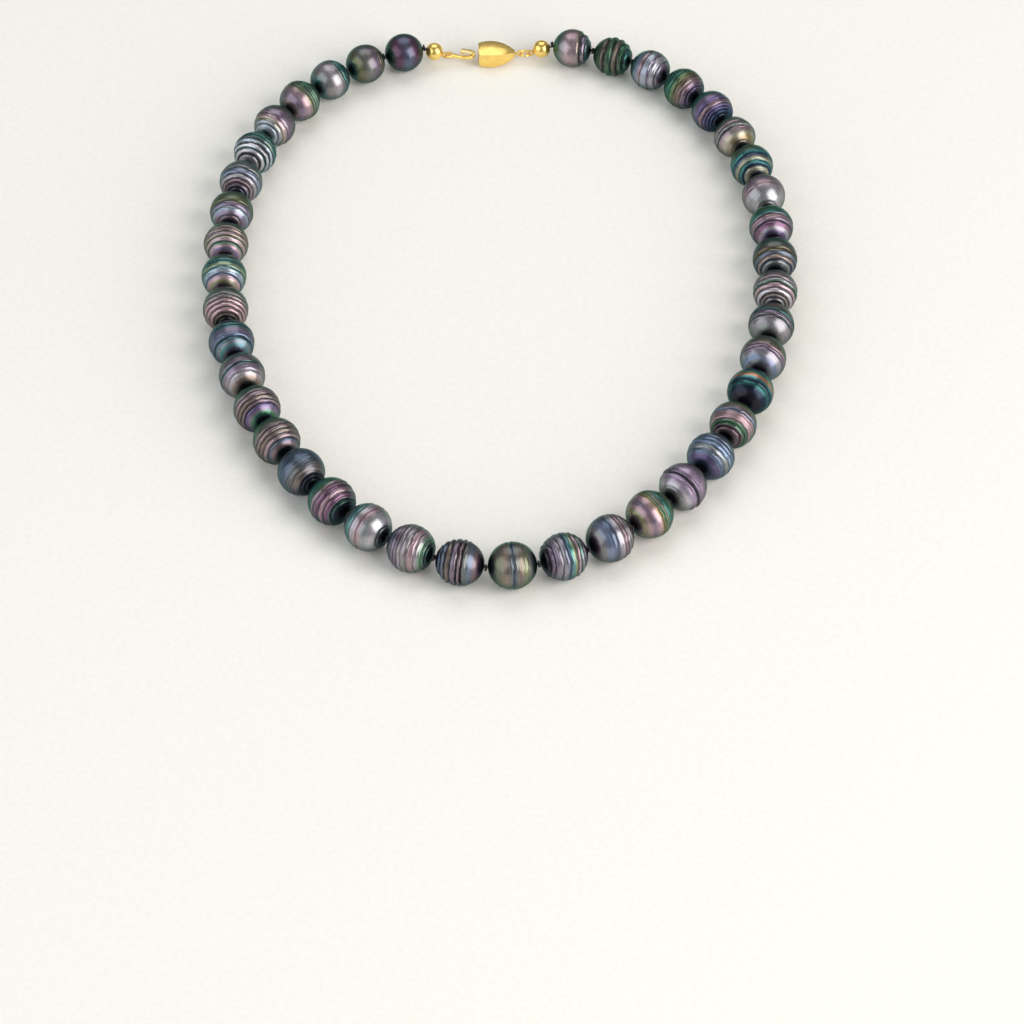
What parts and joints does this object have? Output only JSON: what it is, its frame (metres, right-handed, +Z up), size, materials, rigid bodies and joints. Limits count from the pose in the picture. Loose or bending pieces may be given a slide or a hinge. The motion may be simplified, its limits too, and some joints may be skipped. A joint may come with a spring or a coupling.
{
  "type": "pearl necklace",
  "caption": "Princess-length strand of dark ringed baroque pearls, knotted one by one on silk, with gold end beads and a fish-hook clasp, lying in a loop with its clasp undone",
  "frame": {"origin": "under the middle of the whole necklace, on the surface that it lies on", "axes": "+Z up from the surface, +Y from the centre pearl towards the clasp, +X to the side of the clasp's box"},
  "size_m": [0.129, 0.176, 0.0105],
  "materials": {
    "pearl_mauve": "gloss",
    "pearl_silver": "gloss",
    "pearl_green": "gloss",
    "pearl_rose": "gloss",
    "pearl_navy": "gloss",
    "silk": "satin",
    "gold": "polished",
    "spring_gold": "satin",
    "gimp": "satin"
  },
  "bodies": {
    "pearl_21": {"pearl_21": "pearl_green"},
    "pearl_22": {"pearl_22": "pearl_rose"},
    "pearl_23": {"pearl_23": "pearl_navy"},
    "pearl_24": {"pearl_24": "pearl_green", "silk_5": "silk"},
    "pearl_25": {"pearl_25": "pearl_rose"},
    "pearl_26": {"pearl_26": "pearl_navy"},
    "pearl_27": {"pearl_27": "pearl_rose"},
    "pearl_28": {"pearl_28": "pearl_navy"},
    "pearl_29": {"pearl_29": "pearl_mauve", "silk_6": "silk"},
    "pearl_30": {"pearl_30": "pearl_silver"},
    "pearl_31": {"pearl_31": "pearl_rose"},
    "pearl_32": {"pearl_32": "pearl_green"},
    "pearl_33": {"pearl_33": "pearl_green"},
    "pearl_34": {"pearl_34": "pearl_silver", "silk_7": "silk"},
    "pearl_35": {"pearl_35": "pearl_navy"},
    "pearl_36": {"pearl_36": "pearl_rose"},
    "pearl_37": {"pearl_37": "pearl_mauve"},
    "pearl_38": {"pearl_38": "pearl_green"},
    "pearl_39": {"pearl_39": "pearl_silver", "silk_8": "silk"},
    "pearl_40": {"pearl_40": "pearl_green"},
    "pearl_41": {"pearl_41": "pearl_rose"},
    "pearl_20": {"pearl_20": "pearl_mauve"},
    "pearl_19": {"pearl_19": "pearl_silver"},
    "pearl_18": {"pearl_18": "pearl_silver", "silk_4": "silk"},
    "pearl_17": {"pearl_17": "pearl_mauve"},
    "pearl_16": {"pearl_16": "pearl_navy"},
    "pearl_15": {"pearl_15": "pearl_rose"},
    "pearl_14": {"pearl_14": "pearl_mauve"},
    "pearl_13": {"pearl_13": "pearl_silver", "silk_3": "silk"},
    "pearl_12": {"pearl_12": "pearl_mauve"},
    "pearl_11": {"pearl_11": "pearl_rose"},
    "pearl_10": {"pearl_10": "pearl_green"},
    "pearl_09": {"pearl_09": "pearl_rose"},
    "pearl_08": {"pearl_08": "pearl_silver", "silk_2": "silk"},
    "pearl_07": {"pearl_07": "pearl_green"},
    "pearl_06": {"pearl_06": "pearl_green"},
    "pearl_05": {"pearl_05": "pearl_mauve"},
    "pearl_04": {"pearl_04": "pearl_rose"},
    "pearl_03": {"pearl_03": "pearl_silver", "silk_1": "silk"},
    "pearl_02": {"pearl_02": "pearl_silver"},
    "pearl_01": {"pearl_01": "pearl_navy"},
    "bead_hook_side": {"gold_bead_hook_side": "gold"},
    "gimp_hook_side": {"gimp_loop_hook_side": "gimp"},
    "bead_box_side": {"gold_bead_box_side": "gold"},
    "gimp_box_side": {"gimp_loop_box_side": "gimp"},
    "hook": {"hook_plate": "gold"},
    "spring_leaf": {"hook_spring_leaf": "spring_gold"},
    "jump_ring": {"jump_ring": "gold"},
    "box": {"box_top_shell": "gold", "box_bottom_shell": "gold", "box_crossbar": "gold", "box_eye": "gold"}
  },
  "joints": [
    {"name": "pearl_01_bead_bend", "type": "hinge", "parent": "pearl_01", "child": "bead_hook_side", "pos_m": [-0.01701, 0.08362, 0.0044], "axis": [0, 0, 1], "range_deg": [0, 24]},
    {"name": "gimp_hook_side_lift", "type": "hinge", "parent": "bead_hook_side", "child": "gimp_hook_side", "pos_m": [-0.01211, 0.0838, 0.00222], "axis": [0.0366, -0.9993, 0], "range_deg": [0, 50]},
    {"name": "pearl_41_bead_bend", "type": "hinge", "parent": "pearl_41", "child": "bead_box_side", "pos_m": [0.01154, 0.08467, 0.0044], "axis": [0, 0, -1], "range_deg": [0, 24]},
    {"name": "gimp_box_side_lift", "type": "hinge", "parent": "bead_box_side", "child": "gimp_box_side", "pos_m": [0.00664, 0.08449, 0.00222], "axis": [-0.0366, 0.9993, 0], "range_deg": [0, 50]},
    {"name": "hook_swing", "type": "hinge", "parent": "gimp_hook_side", "child": "hook", "pos_m": [-0.01139, 0.08383, 0.00222], "axis": [0, 0, 1], "range_deg": [-30, 30]},
    {"name": "spring_leaf_press", "type": "hinge", "parent": "hook", "child": "spring_leaf", "pos_m": [-0.00624, 0.08412, 0.00272], "axis": [0.0366, -0.9993, 0], "range_deg": [0, 11], "stiffness_Nm_per_rad": 0.01},
    {"name": "jump_ring_swing", "type": "hinge", "parent": "gimp_box_side", "child": "jump_ring", "pos_m": [0.00554, 0.08445, 0.00222], "axis": [0, 0, 1], "range_deg": [-30, 30]},
    {"name": "box_lift", "type": "hinge", "parent": "jump_ring", "child": "box", "pos_m": [0.00449, 0.08441, 0.00222], "axis": [-0.0366, 0.9993, 0], "range_deg": [0, 50]},
    {"name": "knot_21_22_bend", "type": "hinge", "parent": "pearl_21", "child": "pearl_22", "pos_m": [0.00826, -0.08225, 0.00525], "axis": [0, 0, -1], "range_deg": [0, 24]},
    {"name": "knot_22_23_lift", "type": "hinge", "parent": "pearl_22", "child": "pearl_23", "pos_m": [0.01848, -0.07793, 0.00524], "axis": [0.4901, -0.8717, 0], "range_deg": [0, 12]},
    {"name": "knot_23_24_bend", "type": "hinge", "parent": "pearl_23", "child": "pearl_24", "pos_m": [0.02747, -0.07145, 0.00524], "axis": [0, 0, -1], "range_deg": [0, 24], "deforming": ["silk_5"]},
    {"name": "knot_24_25_lift", "type": "hinge", "parent": "pearl_24", "child": "pearl_25", "pos_m": [0.03519, -0.06353, 0.00522], "axis": [0.7635, -0.6458, 0], "range_deg": [0, 12]},
    {"name": "knot_25_26_bend", "type": "hinge", "parent": "pearl_25", "child": "pearl_26", "pos_m": [0.04171, -0.05463, 0.00521], "axis": [0, 0, -1], "range_deg": [0, 24]},
    {"name": "knot_26_27_lift", "type": "hinge", "parent": "pearl_26", "child": "pearl_27", "pos_m": [0.04712, -0.04506, 0.00519], "axis": [0.8944, -0.4472, 0], "range_deg": [0, 12]},
    {"name": "knot_27_28_bend", "type": "hinge", "parent": "pearl_27", "child": "pearl_28", "pos_m": [0.05151, -0.03503, 0.00516], "axis": [0, 0, -1], "range_deg": [0, 24]},
    {"name": "knot_28_29_lift", "type": "hinge", "parent": "pearl_28", "child": "pearl_29", "pos_m": [0.05493, -0.02469, 0.00513], "axis": [0.9621, -0.2725, 0], "range_deg": [0, 12], "deforming": ["silk_6"]},
    {"name": "knot_29_30_bend", "type": "hinge", "parent": "pearl_29", "child": "pearl_30", "pos_m": [0.05742, -0.01415, 0.0051], "axis": [0, 0, -1], "range_deg": [0, 24]},
    {"name": "knot_30_31_lift", "type": "hinge", "parent": "pearl_30", "child": "pearl_31", "pos_m": [0.05899, -0.00351, 0.00506], "axis": [0.9948, -0.1017, 0], "range_deg": [0, 12]},
    {"name": "knot_31_32_bend", "type": "hinge", "parent": "pearl_31", "child": "pearl_32", "pos_m": [0.0596, 0.00715, 0.00502], "axis": [0, 0, -1], "range_deg": [0, 24]},
    {"name": "knot_32_33_lift", "type": "hinge", "parent": "pearl_32", "child": "pearl_33", "pos_m": [0.05939, 0.01773, 0.00497], "axis": [0.9986, 0.0528, 0], "range_deg": [0, 12]},
    {"name": "knot_33_34_bend", "type": "hinge", "parent": "pearl_33", "child": "pearl_34", "pos_m": [0.05848, 0.02818, 0.00492], "axis": [0, 0, -1], "range_deg": [0, 24], "deforming": ["silk_7"]},
    {"name": "knot_34_35_lift", "type": "hinge", "parent": "pearl_34", "child": "pearl_35", "pos_m": [0.05665, 0.0384, 0.00486], "axis": [0.9732, 0.23, 0], "range_deg": [0, 12]},
    {"name": "knot_35_36_bend", "type": "hinge", "parent": "pearl_35", "child": "pearl_36", "pos_m": [0.05374, 0.04825, 0.0048], "axis": [0, 0, -1], "range_deg": [0, 24]},
    {"name": "knot_36_37_lift", "type": "hinge", "parent": "pearl_36", "child": "pearl_37", "pos_m": [0.04961, 0.05751, 0.00474], "axis": [0.879, 0.4769, 0], "range_deg": [0, 12]},
    {"name": "knot_37_38_bend", "type": "hinge", "parent": "pearl_37", "child": "pearl_38", "pos_m": [0.04416, 0.06591, 0.00467], "axis": [0, 0, -1], "range_deg": [0, 24]},
    {"name": "knot_38_39_lift", "type": "hinge", "parent": "pearl_38", "child": "pearl_39", "pos_m": [0.03739, 0.0731, 0.0046], "axis": [0.6573, 0.7536, 0], "range_deg": [0, 12], "deforming": ["silk_8"]},
    {"name": "knot_39_40_bend", "type": "hinge", "parent": "pearl_39", "child": "pearl_40", "pos_m": [0.02946, 0.07873, 0.00452], "axis": [0, 0, -1], "range_deg": [0, 24]},
    {"name": "knot_40_41_lift", "type": "hinge", "parent": "pearl_40", "child": "pearl_41", "pos_m": [0.02071, 0.08257, 0.00444], "axis": [0.3149, 0.9491, 0], "range_deg": [0, 12]},
    {"name": "knot_20_21_bend", "type": "hinge", "parent": "pearl_21", "child": "pearl_20", "pos_m": [-0.00279, -0.08329, 0.00525], "axis": [0, 0, 1], "range_deg": [0, 24]},
    {"name": "knot_19_20_lift", "type": "hinge", "parent": "pearl_20", "child": "pearl_19", "pos_m": [-0.01351, -0.08043, 0.00524], "axis": [0.3803, 0.9249, 0], "range_deg": [0, 12]},
    {"name": "knot_18_19_bend", "type": "hinge", "parent": "pearl_19", "child": "pearl_18", "pos_m": [-0.02313, -0.07492, 0.00524], "axis": [0, 0, 1], "range_deg": [0, 24], "deforming": ["silk_4"]},
    {"name": "knot_17_18_lift", "type": "hinge", "parent": "pearl_18", "child": "pearl_17", "pos_m": [-0.03147, -0.06766, 0.00522], "axis": [0.7132, 0.701, 0], "range_deg": [0, 12]},
    {"name": "knot_16_17_bend", "type": "hinge", "parent": "pearl_17", "child": "pearl_16", "pos_m": [-0.03857, -0.05921, 0.00521], "axis": [0, 0, 1], "range_deg": [0, 24]},
    {"name": "knot_15_16_lift", "type": "hinge", "parent": "pearl_16", "child": "pearl_15", "pos_m": [-0.04452, -0.04997, 0.00519], "axis": [0.8691, 0.4945, 0], "range_deg": [0, 12]},
    {"name": "knot_14_15_bend", "type": "hinge", "parent": "pearl_15", "child": "pearl_14", "pos_m": [-0.04941, -0.04017, 0.00516], "axis": [0, 0, 1], "range_deg": [0, 24]},
    {"name": "knot_13_14_lift", "type": "hinge", "parent": "pearl_14", "child": "pearl_13", "pos_m": [-0.0533, -0.03, 0.00513], "axis": [0.9488, 0.3158, 0], "range_deg": [0, 12], "deforming": ["silk_3"]},
    {"name": "knot_12_13_bend", "type": "hinge", "parent": "pearl_13", "child": "pearl_12", "pos_m": [-0.05626, -0.01958, 0.0051], "axis": [0, 0, 1], "range_deg": [0, 24]},
    {"name": "knot_11_12_lift", "type": "hinge", "parent": "pearl_12", "child": "pearl_11", "pos_m": [-0.0583, -0.00902, 0.00506], "axis": [0.9891, 0.1474, 0], "range_deg": [0, 12]},
    {"name": "knot_10_11_bend", "type": "hinge", "parent": "pearl_11", "child": "pearl_10", "pos_m": [-0.05941, 0.00159, 0.00502], "axis": [0, 0, 1], "range_deg": [0, 24]},
    {"name": "knot_09_10_lift", "type": "hinge", "parent": "pearl_10", "child": "pearl_09", "pos_m": [-0.05957, 0.01218, 0.00497], "axis": [0.9999, -0.0162, 0], "range_deg": [0, 12]},
    {"name": "knot_08_09_bend", "type": "hinge", "parent": "pearl_09", "child": "pearl_08", "pos_m": [-0.05907, 0.02265, 0.00492], "axis": [0, 0, 1], "range_deg": [0, 24], "deforming": ["silk_2"]},
    {"name": "knot_07_08_lift", "type": "hinge", "parent": "pearl_08", "child": "pearl_07", "pos_m": [-0.05777, 0.03295, 0.00486], "axis": [0.9846, -0.1746, 0], "range_deg": [0, 12]},
    {"name": "knot_06_07_bend", "type": "hinge", "parent": "pearl_07", "child": "pearl_06", "pos_m": [-0.05547, 0.04296, 0.0048], "axis": [0, 0, 1], "range_deg": [0, 24]},
    {"name": "knot_05_06_lift", "type": "hinge", "parent": "pearl_06", "child": "pearl_05", "pos_m": [-0.05204, 0.05251, 0.00474], "axis": [0.9151, -0.4033, 0], "range_deg": [0, 12]},
    {"name": "knot_04_05_bend", "type": "hinge", "parent": "pearl_05", "child": "pearl_04", "pos_m": [-0.04736, 0.06136, 0.00467], "axis": [0, 0, 1], "range_deg": [0, 24]},
    {"name": "knot_03_04_lift", "type": "hinge", "parent": "pearl_04", "child": "pearl_03", "pos_m": [-0.04138, 0.06921, 0.0046], "axis": [0.7354, -0.6776, 0], "range_deg": [0, 12], "deforming": ["silk_1"]},
    {"name": "knot_02_03_bend", "type": "hinge", "parent": "pearl_03", "child": "pearl_02", "pos_m": [-0.03414, 0.07571, 0.00452], "axis": [0, 0, 1], "range_deg": [0, 24]},
    {"name": "knot_01_02_lift", "type": "hinge", "parent": "pearl_02", "child": "pearl_01", "pos_m": [-0.0259, 0.08055, 0.00444], "axis": [0.4196, -0.9077, 0], "range_deg": [0, 12]}
  ]
}
